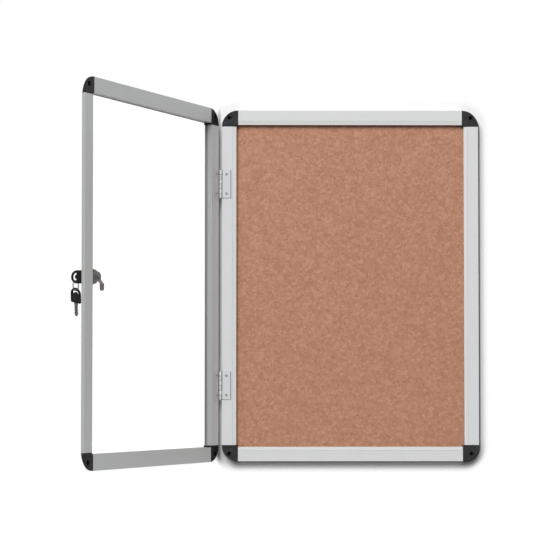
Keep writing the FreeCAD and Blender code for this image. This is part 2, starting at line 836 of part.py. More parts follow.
barrel_room = lock_barrel_diameter / 2 + lock_hole_clearance
washer_low = pane_inner - inner_washer_thickness
door_pieces["lock_body"] = lock_axis_shape(lock_body())
door_pieces["lock_outer_washer"] = lock_axis_shape(
    tube(outer_washer_diameter / 2, barrel_room, pane_outer, head_base))
door_pieces["lock_inner_washer"] = lock_axis_shape(
    tube(inner_washer_diameter / 2, barrel_room, washer_low, pane_inner))
door_pieces["lock_nut"] = lock_axis_shape(lock_nut(washer_low))
door_pieces["lock_plug"] = lock_axis_shape(lock_plug())
door_pieces["lock_cam"] = lock_axis_shape(lock_cam())
door_pieces["cam_screw"] = lock_axis_shape(cam_screw())
door_pieces["key_blade"] = inserted_key(key_blade())
door_pieces["key_bow"] = inserted_key(key_bow())
door_pieces["key_ring"] = key_ring()
door_pieces["spare_key_blade"] = hanging_key(key_blade())
door_pieces["spare_key_bow"] = hanging_key(key_bow())

pieces = dict(root_pieces)
pieces.update({name: hang_open(shape) for name, shape in door_pieces.items()})

os.makedirs("parts", exist_ok=True)
for name, shape in pieces.items():
    shape.exportStep("parts/" + name + ".step")
    print(name, len(shape.Solids), shape.isValid(), round(sum(s.Volume for s in shape.Solids), 1))
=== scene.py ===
"""Finishes and fittings of a wall-hung notice board with a lockable glazed door.

Metres. +Z is up, the front faces -Y and the wall is the plane y = 0. The door stands open.
"""

import json
import math

import bpy
import numpy as np
from bpy.props import FloatProperty, FloatVectorProperty, PointerProperty
from bpy.types import Operator, Panel, PropertyGroup
from mathutils import Euler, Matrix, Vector


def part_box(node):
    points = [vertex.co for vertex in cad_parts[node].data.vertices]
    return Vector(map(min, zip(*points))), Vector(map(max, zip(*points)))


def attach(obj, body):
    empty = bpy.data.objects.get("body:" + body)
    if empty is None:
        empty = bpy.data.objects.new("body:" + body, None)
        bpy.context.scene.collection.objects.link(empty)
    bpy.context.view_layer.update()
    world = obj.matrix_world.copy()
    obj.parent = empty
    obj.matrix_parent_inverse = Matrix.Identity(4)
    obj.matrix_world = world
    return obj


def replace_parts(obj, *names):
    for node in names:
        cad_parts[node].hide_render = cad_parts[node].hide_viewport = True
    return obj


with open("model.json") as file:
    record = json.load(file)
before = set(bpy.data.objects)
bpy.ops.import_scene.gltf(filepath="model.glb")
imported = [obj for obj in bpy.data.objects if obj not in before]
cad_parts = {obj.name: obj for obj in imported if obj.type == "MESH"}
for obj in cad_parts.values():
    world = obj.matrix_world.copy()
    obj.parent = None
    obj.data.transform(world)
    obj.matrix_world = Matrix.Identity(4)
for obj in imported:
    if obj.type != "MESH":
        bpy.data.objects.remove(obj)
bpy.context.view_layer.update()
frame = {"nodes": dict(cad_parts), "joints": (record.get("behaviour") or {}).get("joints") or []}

bl_info = {
    "name": "Lockable Notice Board",
    "version": (1, 0, 0),
    "blender": (4, 5, 0),
    "location": "3D View > Sidebar > Notice Board",
    "description": "Finishes and small fittings of a wall-hung notice board with a glazed door",
    "category": "Object",
}

TAU = 2 * math.pi
UP = np.array((0.0, 0.0, 1.0))
SIDES = ("top", "bottom", "left", "right")
HINGES = ("upper", "lower")


def joint(name):
    """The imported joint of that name."""
    return next(j for j in frame["joints"] if j["name"] == name)


# The lock's own axes: x towards the door's free edge, y up, z out through the pane
LOCK_ORIGIN = np.array(joint("lock_turn")["pos_m"], float)
LOCK_OUT = np.array(joint("lock_turn")["axis"], float)
LOCK_ALONG = np.cross(UP, LOCK_OUT)
LOCK_AXES = np.stack((LOCK_ALONG, UP, LOCK_OUT))
RING_TOP = np.array(joint("ring_swing")["pos_m"], float)
RING_BOTTOM = np.array(joint("spare_key_swing")["pos_m"], float)


# Sizes, colours and stage that a user would change


class NoticeBoardSizes(PropertyGroup):
    """Sizes of the fittings that are modelled here, in metres."""

    thread_pitch: FloatProperty(
        name="Thread pitch", description="Pitch of the thread on the lock's barrel",
        default=0.0015, unit="LENGTH", precision=5)
    thread_depth: FloatProperty(
        name="Thread depth", description="Depth of the thread on the lock's barrel",
        default=0.0006, unit="LENGTH", precision=5)
    gasket_rib: FloatProperty(
        name="Gasket rib", description="How far the gasket's ribs stand out from its grooves",
        default=0.0003, unit="LENGTH", precision=5)
    ring_wire: FloatProperty(
        name="Ring wire", description="Thickness of each of the split ring's two turns",
        default=0.00072, unit="LENGTH", precision=5)
    bow_recess: FloatProperty(
        name="Bow recess", description="Depth of the thumb recess in each key bow",
        default=0.0004, unit="LENGTH", precision=5)
    blade_groove: FloatProperty(
        name="Blade groove", description="Depth of the groove milled along each key blade",
        default=0.0005, unit="LENGTH", precision=5)
    cork_granule: FloatProperty(
        name="Cork granule", description="Size of the larger cork granules",
        default=0.0055, unit="LENGTH", precision=5)


class NoticeBoardColours(PropertyGroup):
    """Base colours of the finishes."""

    frame: FloatVectorProperty(
        name="Frame", description="Satin anodised aluminium of the board's frame",
        subtype="COLOR", size=3, default=(0.70, 0.703, 0.705))
    # Painted shade: darker than the frame's colour, because the open door's sections face away from
    # the light
    door: FloatVectorProperty(
        name="Door", description="Satin anodised aluminium of the door's frame",
        subtype="COLOR", size=3, default=(0.395, 0.407, 0.41))
    corner: FloatVectorProperty(
        name="Frame corners", description="Moulded plastic corner pieces of the board",
        subtype="COLOR", size=3, default=(0.015, 0.015, 0.016))
    # Painted shade: darker than the frame's corners, because the door's corners face away from the
    # light
    door_corner: FloatVectorProperty(
        name="Door corners", description="Moulded plastic corner pieces of the door",
        subtype="COLOR", size=3, default=(0.008, 0.008, 0.0085))
    cork_dark: FloatVectorProperty(
        name="Dark cork", description="Darkest granules of the pin board",
        subtype="COLOR", size=3, default=(0.43, 0.214, 0.134))
    cork_middle: FloatVectorProperty(
        name="Cork", description="Most granules of the pin board",
        subtype="COLOR", size=3, default=(0.525, 0.268, 0.174))
    cork_light: FloatVectorProperty(
        name="Light cork", description="Lightest granules of the pin board",
        subtype="COLOR", size=3, default=(0.625, 0.34, 0.232))
    hinge: FloatVectorProperty(
        name="Frame hinge leaves", description="Plated steel of the leaves on the frame",
        subtype="COLOR", size=3, default=(0.64, 0.65, 0.655))
    # Painted shade: darker than the frame's leaves, because the door's leaves face away from the
    # light; the door's knuckles keep the frame's colour
    door_hinge: FloatVectorProperty(
        name="Door hinge leaves", description="Duller plated steel of the leaves on the door",
        subtype="COLOR", size=3, default=(0.44, 0.445, 0.45))
    lock: FloatVectorProperty(
        name="Lock", description="Plated zinc of the lock's body and nut",
        subtype="COLOR", size=3, default=(0.18, 0.182, 0.185))
    key: FloatVectorProperty(
        name="Key blades", description="Nickel of the key blades and the ring",
        subtype="COLOR", size=3, default=(0.11, 0.11, 0.109))
    bow: FloatVectorProperty(
        name="Key bows", description="Moulded plastic of the key bows",
        subtype="COLOR", size=3, default=(0.004, 0.004, 0.0045))
    rubber: FloatVectorProperty(
        name="Rubber", description="Gaskets and washers",
        subtype="COLOR", size=3, default=(0.22, 0.223, 0.226))


class NoticeBoardStage(PropertyGroup):
    """Camera, lamps and backdrop."""

    camera_place: FloatVectorProperty(
        name="Camera", description="Where the camera stands",
        subtype="TRANSLATION", size=3, default=(-0.16884, -3.83613, -0.19144))
    camera_yaw: FloatProperty(
        name="Yaw", description="Turn of the camera to the right of straight ahead",
        subtype="ANGLE", default=0.00871)
    camera_pitch: FloatProperty(
        name="Pitch", description="Tilt of the camera above the horizon",
        subtype="ANGLE", default=0.0359)
    lens: FloatProperty(
        name="Lens", description="Focal length on a 36 mm sensor, in millimetres", default=127.16)
    lens_shift: FloatProperty(
        name="Lens shift", description="Upward shift of the lens in sensor widths", default=0.06)
    key_power: FloatProperty(
        name="Key lamp", description="Power of the large soft lamp at the upper left",
        unit="POWER", default=488.0)
    door_fill: FloatProperty(
        name="Door fill", description="Power of the soft lamp that lights the open door alone",
        unit="POWER", default=305.0)
    room_strength: FloatProperty(
        name="Room light", description="Strength of the even light from all sides", default=0.15)


# Mesh makers


def grid_faces(rows, columns, closed_rows, closed_columns):
    """Quads of a grid of points; a closed direction joins its last line to its first."""
    index = np.arange(rows * columns).reshape(rows, columns)
    if closed_rows:
        index = np.vstack((index, index[:1]))
    if closed_columns:
        index = np.hstack((index, index[:, :1]))
    corners = (index[:-1, :-1], index[1:, :-1], index[1:, 1:], index[:-1, 1:])
    return np.stack(corners, axis=-1).reshape(-1, 4)


def signed_volume(points, quads):
    """Six times the volume inside the quads: negative where they face inwards."""
    a, b, c, d = (points[quads[:, k]] for k in range(4))
    return float(np.sum(np.cross(a, b) * c) + np.sum(np.cross(a, c) * d))


def smooth_mesh(name, points, faces):
    """A mesh with all faces shaded smooth."""
    mesh = bpy.data.meshes.new(name)
    mesh.from_pydata(points.tolist(), [], faces)
    mesh.polygons.foreach_set("use_smooth", np.ones(len(mesh.polygons), bool))
    return mesh


def new_object(name, data):
    """An object in the scene's own collection."""
    made = bpy.data.objects.new(name, data)
    bpy.context.scene.collection.objects.link(made)
    return made


def mesh_object(name, parts, body, sharp):
    """One object from grids of points, smooth except at sharp edges, riding on a body.

    Each part is (points of shape rows x columns x 3, closed rows, closed columns). A grid whose
    rows stay open gets a flat end at its first and last row, so every part is a closed shell.
    """
    all_points, all_faces, start = [], [], 0
    for grid, closed_rows, closed_columns in parts:
        rows, columns = grid.shape[:2]
        points = grid.reshape(-1, 3)
        quads = grid_faces(rows, columns, closed_rows, closed_columns)
        ends = []
        if not closed_rows:
            ends = [list(range(columns))[::-1], list(range((rows - 1) * columns, rows * columns))]
        if signed_volume(points - points.mean(0), quads) < 0:
            quads = quads[:, ::-1]
        else:
            ends = [end[::-1] for end in ends]
        all_points.append(points)
        all_faces += (quads + start).tolist() + [[k + start for k in end] for end in ends]
        start += len(points)
    mesh = smooth_mesh(name, np.vstack(all_points), all_faces)
    mesh.set_sharp_from_angle(angle=math.radians(sharp))
    mesh.validate()
    made = new_object(name, mesh)
    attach(made, body)
    return made


def grid_points(x, y, z):
    """Points of a grid, from three arrays that broadcast together."""
    return np.stack(np.broadcast_arrays(x, y, z), -1)


def from_lock_axes(points):
    """Points given in the lock's own axes, carried to the open door."""
    return LOCK_ORIGIN + points @ LOCK_AXES


def to_lock_axes(points):
    """Points of the open door in the lock's own axes."""
    return (points - LOCK_ORIGIN) @ LOCK_AXES.T


def lock_points(name):
    """Points of a CAD node in the lock's own axes."""
    mesh = frame["nodes"][name].data
    points = np.empty(len(mesh.vertices) * 3)
    mesh.vertices.foreach_get("co", points)
    return to_lock_axes(points.reshape(-1, 3))


def lock_box(name):
    """Lowest and highest corner of a CAD node in the lock's own axes."""
    points = lock_points(name)
    return points.min(0), points.max(0)


def smooth(value):
    """Smooth step from 0 to 1 as the value goes from 0 to 1."""
    value = np.clip(value, 0, 1)
    return value * value * (3 - 2 * value)


def even_steps(points, count):
    """Points at even distances along a closed line through the given points."""
    points = np.vstack((points, points[:1]))
    lengths = np.concatenate(([0], np.cumsum(np.linalg.norm(np.diff(points, axis=0), axis=1))))
    wanted = np.linspace(0, lengths[-1], count, endpoint=False)
    return np.stack([np.interp(wanted, lengths, points[:, k]) for k in range(points.shape[1])], -1)


# Shader makers

FINISH_OUTPUTS = (("Color", "Color"), ("Roughness", "Float"), ("Height", "Float"))


def start_group(name, inputs, outputs=FINISH_OUTPUTS):
    """A node group with named sockets: the group, what it is given and what it gives out."""
    group = bpy.data.node_groups.new(name, "ShaderNodeTree")
    for label, kind, default in (("Vector", "Vector", None), *inputs):
        socket = group.interface.new_socket(label, in_out="INPUT", socket_type="NodeSocket" + kind)
        if default is not None:
            socket.default_value = default
    for label, kind in outputs:
        group.interface.new_socket(label, in_out="OUTPUT", socket_type="NodeSocket" + kind)
    return (group, group.nodes.new("NodeGroupInput").outputs,
            group.nodes.new("NodeGroupOutput").inputs)


def give_out(group, out, **results):
    """Join results to a group's outputs of the same names."""
    for label, result in results.items():
        group.links.new(result, out[label])
    return group


def vary(group, given, out, amount, height):
    """Give out a height, and the given colour and roughness varied by an amount round 0."""
    tone = maths(group, "MULTIPLY_ADD", amount, given["Contrast"], 1.0)
    shine = maths(group, "MULTIPLY_ADD", amount, given["Spread"], given["Roughness"])
    return give_out(group, out, Color=scaled(group, given["Color"], tone), Roughness=shine,
                    Height=height)


def node(tree, kind, inputs=(), **settings):
    """A node with its settings, whose inputs are given as (socket, value or output)."""
    made = tree.nodes.new("ShaderNode" + kind)
    for key, value in settings.items():
        setattr(made, key, value)
    for socket, value in inputs:
        if isinstance(value, bpy.types.NodeSocket):
            tree.links.new(value, made.inputs[socket])
        else:
            made.inputs[socket].default_value = value
    return made


def maths(tree, operation, a, b=0.0, c=0.0):
    """Output of a Math node."""
    return node(tree, "Math", ((0, a), (1, b), (2, c)), operation=operation).outputs[0]


def vector_maths(tree, operation, a, b=(0, 0, 0), output=0):
    """Output of a Vector Math node on one or two vectors."""
    return node(tree, "VectorMath", ((0, a), (1, b)), operation=operation).outputs[output]


def scaled(tree, vector, factor):
    """A vector or colour times a number."""
    return node(tree, "VectorMath", ((0, vector), ("Scale", factor)), operation="SCALE").outputs[0]


def blended(tree, factor, a, b):
    """Colour between a and b."""
    return node(tree, "Mix", ((0, factor), (6, a), (7, b)), data_type="RGBA").outputs[2]


def noise(tree, vector, scale, detail=3.0, roughness=0.55, distortion=0.0):
    """Value of a Noise Texture."""
    return node(tree, "TexNoise", (
        ("Vector", vector), ("Scale", scale), ("Detail", detail), ("Roughness", roughness),
        ("Distortion", distortion))).outputs[0]


def smooth_range(tree, value, start, end):
    """Smooth step from 0 to 1 as the value goes from start to end."""
    return node(tree, "MapRange", (("Value", value), ("From Min", start), ("From Max", end)),
                interpolation_type="SMOOTHSTEP").outputs[0]


def drawn_lines_group():
    """Fine lines that drawing or rolling leaves along the metal, with slow changes of tone."""
    group, given, out = start_group("Drawn Lines", (
        ("Run", "Vector", (0, 0, 1)), ("Line Width", "Float", 0.0004),
        ("Color", "Color", (0.7, 0.7, 0.7, 1)), ("Contrast", "Float", 0.05),
        ("Roughness", "Float", 0.4), ("Spread", "Float", 0.1),
    ))
    squeeze, broad_scale = 0.985, 14.0
    along = vector_maths(group, "DOT_PRODUCT", given["Vector"], given["Run"], output=1)
    pulled = scaled(group, given["Run"], maths(group, "MULTIPLY", along, squeeze))
    across = vector_maths(group, "SUBTRACT", given["Vector"], pulled)
    fine = noise(group, across, maths(group, "DIVIDE", 1.0, given["Line Width"]), 4.0, 0.65)
    broad = noise(group, across, broad_scale, 2.0)
    both = maths(group, "SUBTRACT", maths(group, "MULTIPLY_ADD", broad, 0.6, fine), 0.8)
    return vary(group, given, out, both, fine)


def moulded_skin_group():
    """Fine pebbled skin of a moulding: small rounded cells over slow clouds."""
    group, given, out = start_group("Moulded Skin", (
        ("Grain Size", "Float", 0.0006), ("Color", "Color", (0.03, 0.03, 0.03, 1)),
        ("Contrast", "Float", 0.3), ("Roughness", "Float", 0.45), ("Spread", "Float", 0.12),
    ))
    scale = maths(group, "DIVIDE", 1.0, given["Grain Size"])
    cells = node(group, "TexVoronoi", (
        ("Vector", given["Vector"]), ("Scale", scale), ("Smoothness", 0.6)),
        feature="SMOOTH_F1").outputs["Distance"]
    cloud_scale = 90.0
    clouds = noise(group, given["Vector"], cloud_scale, 4.0)
    both = maths(group, "SUBTRACT", clouds, maths(group, "MULTIPLY", cells, 0.5))
    return vary(group, given, out, both, cells)


def handling_group():
    """Faint dust and rubbed patches laid over a finish."""
    group, given, out = start_group("Handling Marks", (
        ("Color", "Color", (0.5, 0.5, 0.5, 1)), ("Roughness", "Float", 0.4),
        ("Dust Color", "Color", (0.45, 0.44, 0.42, 1)),
        ("Amount", "Float", 0.1), ("Mark Size", "Float", 0.02),
    ), (("Color", "Color"), ("Roughness", "Float")))
    scale = maths(group, "DIVIDE", 1.0, given["Mark Size"])
    patches = noise(group, given["Vector"], scale, 5.0, 0.6, 0.4)
    mask = smooth_range(group, patches, 0.45, 0.75)
    amount = maths(group, "MULTIPLY", mask, given["Amount"])
    dusty = blended(group, amount, given["Color"], given["Dust Color"])
    rough = maths(group, "MULTIPLY_ADD", amount, 0.5, given["Roughness"])
    return give_out(group, out, Color=dusty, Roughness=rough)


def cork_group():
    """Pressed cork: granules of two sizes and several tones, dark crumbs and binder lines."""
    group, given, out = start_group("Cork Granules", (
        ("Granule Size", "Float", 0.005), ("Dark", "Color", (0.3, 0.13, 0.08, 1)),
        ("Middle", "Color", (0.46, 0.24, 0.16, 1)), ("Light", "Color", (0.6, 0.34, 0.24, 1)),
    ))
    scale = maths(group, "DIVIDE", 1.0, given["Granule Size"])
    wobble = node(group, "TexNoise", (
        ("Vector", given["Vector"]), ("Scale", scale), ("Detail", 3.0))).outputs["Color"]
    shift = scaled(group, vector_maths(group, "SUBTRACT", wobble, (0.5, 0.5, 0.5)),
                   maths(group, "MULTIPLY", given["Granule Size"], 0.9))
    place = vector_maths(group, "ADD", given["Vector"], shift)

    def granules(times, feature, output):
        size = maths(group, "MULTIPLY", scale, times)
        made = node(group, "TexVoronoi", (("Vector", place), ("Scale", size)), feature=feature)
        return made.outputs[output]

    finer, seam_width, crumb_edge = 2.7, 0.07, 0.62
    large = node(group, "SeparateColor", ((0, granules(1.0, "F1", "Color")),)).outputs[0]
    small = node(group, "SeparateColor", ((0, granules(finer, "F1", "Color")),)).outputs[1]
    fine = noise(group, place, maths(group, "MULTIPLY", scale, 5.0), 4.0, 0.7)
    mixed = maths(group, "MULTIPLY", large, 0.42)
    mixed = maths(group, "MULTIPLY_ADD", small, 0.33, mixed)
    mixed = maths(group, "MULTIPLY_ADD", fine, 0.25, mixed)
    lighter = smooth_range(group, mixed, 0.50, 0.82)
    darker = smooth_range(group, mixed, 0.48, 0.18)
    tone = blended(group, lighter, given["Middle"], given["Light"])
    tone = blended(group, darker, tone, given["Dark"])
    edge = granules(1.0, "DISTANCE_TO_EDGE", "Distance")
    seam = smooth_range(group, edge, seam_width, 0.0)
    tone = blended(group, maths(group, "MULTIPLY", seam, 0.22), tone, given["Dark"])
    crumb = maths(group, "GREATER_THAN", granules(finer, "F1", "Distance"), crumb_edge)
    tone = blended(group, maths(group, "MULTIPLY", crumb, 0.35), tone, given["Dark"])
    height = maths(group, "SUBTRACT", mixed, maths(group, "MULTIPLY", seam, 0.35))
    shine = maths(group, "MULTIPLY_ADD", mixed, -0.12, 0.94)
    return give_out(group, out, Color=tone, Roughness=shine, Height=height)


def hinge_seams_and_shade_group():
    """Dark seams between a hinge's knuckles, painted shade beside the barrel and a painted shadow
    along the leaf's border.

    A seam between knuckles lies at every whole number of pitches from the barrel's bottom. The
    painted border shadow lies right of and below its corner.
    """
    group, given, out = start_group("Hinge Seams And Shade", (
        ("Bottom", "Vector", (0, 0, 0)), ("Pitch", "Float", 0.01),
        ("Barrel Radius", "Float", 0.003), ("Seam Width", "Float", 0.001),
        ("Side Width", "Float", 0.001), ("Side Strength", "Float", 0.5),
        ("Border Corner", "Vector", (0, 0, 0)), ("Color", "Color", (0.5, 0.5, 0.5, 1)),
        ("Barrel Color", "Color", (0.6, 0.6, 0.6, 1)),
        ("Seam And Shade Color", "Color", (0.04, 0.04, 0.04, 1)),
    ), (("Color", "Color"), ("Mask", "Float")))
    seam_and_shadow_strength = 0.8
    half_seam = maths(group, "MULTIPLY", given["Seam Width"], 0.5)
    from_bottom = vector_maths(group, "SUBTRACT", given["Vector"], given["Bottom"])
    level = node(group, "SeparateXYZ", ((0, from_bottom),))
    flat = node(group, "CombineXYZ", (("X", level.outputs["X"]), ("Y", level.outputs["Y"])))
    from_pin = vector_maths(group, "LENGTH", flat.outputs[0], output=1)
    past_barrel = maths(group, "SUBTRACT", from_pin, given["Barrel Radius"])
    count = maths(group, "DIVIDE", level.outputs["Z"], given["Pitch"])
    off_whole = maths(group, "SUBTRACT", count, maths(group, "ROUND", count))
    from_seam = maths(group, "MULTIPLY", maths(group, "ABSOLUTE", off_whole), given["Pitch"])
    across = maths(group, "MULTIPLY", maths(group, "LESS_THAN", from_seam, half_seam),
                   maths(group, "LESS_THAN", past_barrel, half_seam))
    # Painted shade: a strip on the leaf just beside the barrel
    half_side = maths(group, "MULTIPLY", given["Side Width"], 0.5)
    beside = maths(group, "SUBTRACT", past_barrel, half_side)
    beside = maths(group, "LESS_THAN", maths(group, "ABSOLUTE", beside), half_side)
    # Painted shadow: the leaf's border right of and below the corner
    beyond = vector_maths(group, "SUBTRACT", given["Vector"], given["Border Corner"])
    sides = node(group, "SeparateXYZ", ((0, beyond),))
    below = maths(group, "MULTIPLY", sides.outputs["Z"], -1.0)
    border = maths(group, "MAXIMUM", sides.outputs["X"], below)
    border = maths(group, "MULTIPLY", maths(group, "GREATER_THAN", border, 0.0),
                   maths(group, "GREATER_THAN", past_barrel, 0.0))
    seams = maths(group, "MULTIPLY", maths(group, "MAXIMUM", across, border), seam_and_shadow_strength)
    mask = maths(group, "MAXIMUM", seams, maths(group, "MULTIPLY", beside, given["Side Strength"]))
    plain = blended(group, maths(group, "LESS_THAN", past_barrel, 0.0), given["Color"],
                    given["Barrel Color"])
    tone = blended(group, mask, plain, given["Seam And Shade Color"])
    return give_out(group, out, Color=tone, Mask=mask)


GROUP_MAKERS = {
    "Drawn Lines": drawn_lines_group,
    "Moulded Skin": moulded_skin_group,
    "Handling Marks": handling_group,
    "Cork Granules": cork_group,
    "Hinge Seams And Shade": hinge_seams_and_shade_group,
}


def placed_group(tree, name, place, inputs):
    """A named group's node at a place in a material; the group is made on first use."""
    group = bpy.data.node_groups.get(name) or GROUP_MAKERS[name]()
    return node(tree, "Group", (("Vector", place), *inputs), node_tree=group)


def start_material(name, **shader_values):
    """A material with its shader joined to the output, and its Object coordinates."""
    material = bpy.data.materials.new(name)
    material.use_nodes = True
    tree = material.node_tree
    tree.nodes.clear()
    output = tree.nodes.new("ShaderNodeOutputMaterial")
    shader = tree.nodes.new("ShaderNodeBsdfPrincipled")
    for label, value in shader_values.items():
        shader.inputs[label.replace("_", " ")].default_value = value
    tree.links.new(shader.outputs[0], output.inputs["Surface"])
    place = tree.nodes.new("ShaderNodeTexCoord").outputs["Object"]
    return material, tree, shader, place


def show(tree, result):
    """Join another shader to the material's output."""
    output = next(n for n in tree.nodes if n.type == "OUTPUT_MATERIAL")
    tree.links.new(result.outputs[0], output.inputs["Surface"])


SEEN_RAYS = ("Is Camera Ray", "Is Glossy Ray", "Is Transmission Ray")


def on_rays(tree, *kinds):
    """1 for rays of the given kinds and 0 for others."""
    path = tree.nodes.new("ShaderNodeLightPath")
    found = path.outputs[kinds[0]]
    for kind in kinds[1:]:
        found = maths(tree, "MAXIMUM", found, path.outputs[kind])
    return found


def with_alpha(colour):
    """A colour for a node's socket, fully opaque."""
    return (*colour, 1.0)


def patterned(name, group, inputs, bump, distance=0.0001, dust=0.0, mark_size=0.03,
              **shader_values):
    """A material from a pattern group, through handling marks and a bump."""
    material, tree, shader, place = start_material(name, **shader_values)
    pattern = placed_group(tree, group, place, inputs)
    over = placed_group(tree, "Handling Marks", place, (
        ("Color", pattern.outputs["Color"]), ("Roughness", pattern.outputs["Roughness"]),
        ("Amount", dust), ("Mark Size", mark_size)))
    tree.links.new(over.outputs["Color"], shader.inputs["Base Color"])
    tree.links.new(over.outputs["Roughness"], shader.inputs["Roughness"])
    raised = node(tree, "Bump", (("Strength", bump), ("Distance", distance),
                                 ("Height", pattern.outputs["Height"])))
    tree.links.new(raised.outputs[0], shader.inputs["Normal"])
    return material


def metal(name, colour, run=(0, 0, 1), line_width=0.0003, contrast=0.2, roughness=0.3,
          spread=0.15, metallic=1.0, bump=0.15, dust=0.06):
    """Metal with drawn or rolled lines along run."""
    return patterned(name, "Drawn Lines", (
        ("Run", run), ("Line Width", line_width), ("Color", with_alpha(colour)),
        ("Contrast", contrast), ("Roughness", roughness), ("Spread", spread)),
        bump, dust=dust, Metallic=metallic)


def moulding(name, colour, grain=0.0006, contrast=0.4, roughness=0.6, spread=0.15, bump=0.3,
             dust=0.05, **shader_values):
    """Plastic or rubber with a pebbled skin."""
    return patterned(name, "Moulded Skin", (
        ("Grain Size", grain), ("Color", with_alpha(colour)), ("Contrast", contrast),
        ("Roughness", roughness), ("Spread", spread)),
        bump, dust=dust, mark_size=0.012, **shader_values)


def dress(material, *names):
    """Give CAD nodes a finish."""
    for name in names:
        for slot in frame["nodes"][name].material_slots:
            slot.material = material


def wear(made, material):
    """Give a new piece its finish."""
    made.data.materials.append(material)
    return made


# Operators, each with the makers of its own pieces


class NOTICEBOARD_OT_dress_sections(Operator):
    """Satin anodised finish with drawing lines along each frame and door section"""

    bl_idname = "noticeboard.dress_sections"
    bl_label = "Dress Sections"

    def execute(self, context):
        colours = context.scene.notice_colours
        # The door's darker colour is painted shade on the same satin finish
        owners = (("frame", colours.frame, 0.5, (1, 0, 0)),
                  ("door", colours.door, 0.3, tuple(LOCK_ALONG)))
        for owner, colour, metallic, level in owners:
            for lie, run, sides in (("Upright", (0, 0, 1), ("left", "right")),
                                    ("Level", level, ("top", "bottom"))):
                satin = metal(f"{owner.title()} Aluminium {lie}", colour, run, line_width=0.0006,
                              contrast=0.04, roughness=0.46, spread=0.08, metallic=metallic,
                              bump=0.12, dust=0.03)
                dress(satin, *[f"{owner}_{side}" for side in sides])
        return {"FINISHED"}


class NOTICEBOARD_OT_dress_corners(Operator):
    """Fine-grained dark plastic of the eight corner pieces"""

    bl_idname = "noticeboard.dress_corners"
    bl_label = "Dress Corners"

    def execute(self, context):
        colours = context.scene.notice_colours
        # The door corners' darker colour is painted shade on the same moulded plastic
        for owner, colour, shine in (("frame", colours.corner, 0.3),
                                     ("door", colours.door_corner, 0.2)):
            plastic = moulding(f"{owner.title()} Corner Plastic", colour, grain=0.0009,
                               contrast=0.35, roughness=0.42, spread=0.18,
                               Specular_IOR_Level=shine)
            dress(plastic, *[f"{owner}_corner_{place}_{side}" for place in ("top", "bottom")
                             for side in ("left", "right")])
        return {"FINISHED"}


class NOTICEBOARD_OT_dress_panel(Operator):
    """Cork pin board, its fibre core and the rolled back sheet"""

    bl_idname = "noticeboard.dress_panel"
    bl_label = "Dress Panel"

    def execute(self, context):
        colours = context.scene.notice_colours
        cork = patterned("Pressed Cork", "Cork Granules", (
            ("Granule Size", context.scene.notice_sizes.cork_granule),
            ("Dark", with_alpha(colours.cork_dark)), ("Middle", with_alpha(colours.cork_middle)),
            ("Light", with_alpha(colours.cork_light))),
            bump=0.6, distance=0.0006, Specular_IOR_Level=0.25)
        dress(cork, "cork_sheet")
        core = moulding("Fibre Core", (0.33, 0.22, 0.13), grain=0.0012, contrast=0.6,
                        roughness=0.9, spread=0.05, bump=0.5)
        dress(core, "core_board")
        sheet = metal("Rolled Back Sheet", (0.62, 0.63, 0.64), (1, 0, 0), line_width=0.0009,
                      contrast=0.12, roughness=0.38, metallic=0.9, dust=0.12)
        dress(sheet, "back_sheet")
        return {"FINISHED"}


class NOTICEBOARD_OT_glaze_door(Operator):
    """Clear door pane and the ribbed rubber gasket that it rests on"""

    bl_idname = "noticeboard.glaze_door"
    bl_label = "Glaze Door"

    def execute(self, context):
        material, tree, shader, place = start_material(
            "Clear Pane", Transmission_Weight=1.0, IOR=1.3, Base_Color=(1, 1, 1, 1))
        marks = placed_group(tree, "Handling Marks", place, (
            ("Color", (1, 1, 1, 1)), ("Roughness", 0.01),
            ("Dust Color", (0.97, 0.98, 0.98, 1)), ("Amount", 0.06), ("Mark Size", 0.05)))
        tree.links.new(marks.outputs["Color"], shader.inputs["Base Color"])
        tree.links.new(marks.outputs["Roughness"], shader.inputs["Roughness"])
        passing = on_rays(tree, "Is Shadow Ray", "Is Diffuse Ray")
        clear = tree.nodes.new("ShaderNodeBsdfTransparent")
        show(tree, node(tree, "MixShader", (
            (0, passing), (1, shader.outputs[0]), (2, clear.outputs[0]))))
        dress(material, "door_pane")
        rubber = moulding("Gasket Rubber", context.scene.notice_colours.rubber, grain=0.0007,
                          dust=0.1)
        wear(pane_gasket(context.scene.notice_sizes.gasket_rib), rubber)
        return {"FINISHED"}


def pane_gasket(rib):
    """Four rubber strips round the pane, in place of the plain gaskets.

    Each section is a rectangle whose visible edge is drawn back by rib x (1 - cos) / 2 with three
    waves over the strip's thickness, carried straight along its side of the door.
    """
    parts = []
    for side in SIDES:
        low, high = lock_box("gasket_" + side)
        across, run = (0, 1) if side in ("left", "right") else (1, 0)
        edge, back = (high[across], low[across]) if side in ("left", "bottom") else (
            low[across], high[across])
        rise = np.linspace(0, 1, 31)
        wave = rib * (1 - np.cos(3 * TAU * rise)) / 2
        visible = edge + np.sign(back - edge) * wave
        width = np.concatenate((visible, [back, back]))
        height = low[2] + (high[2] - low[2]) * np.concatenate((rise, [1, 0]))
        places = np.zeros((2, len(width), 3))
        places[..., across] = width
        places[..., run] = np.array((low[run], high[run]))[:, None]
        places[..., 2] = height
        parts.append((from_lock_axes(places), False, True))
    made = mesh_object("pane_gasket", parts, "door", 60)
    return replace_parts(made, *["gasket_" + side for side in SIDES])


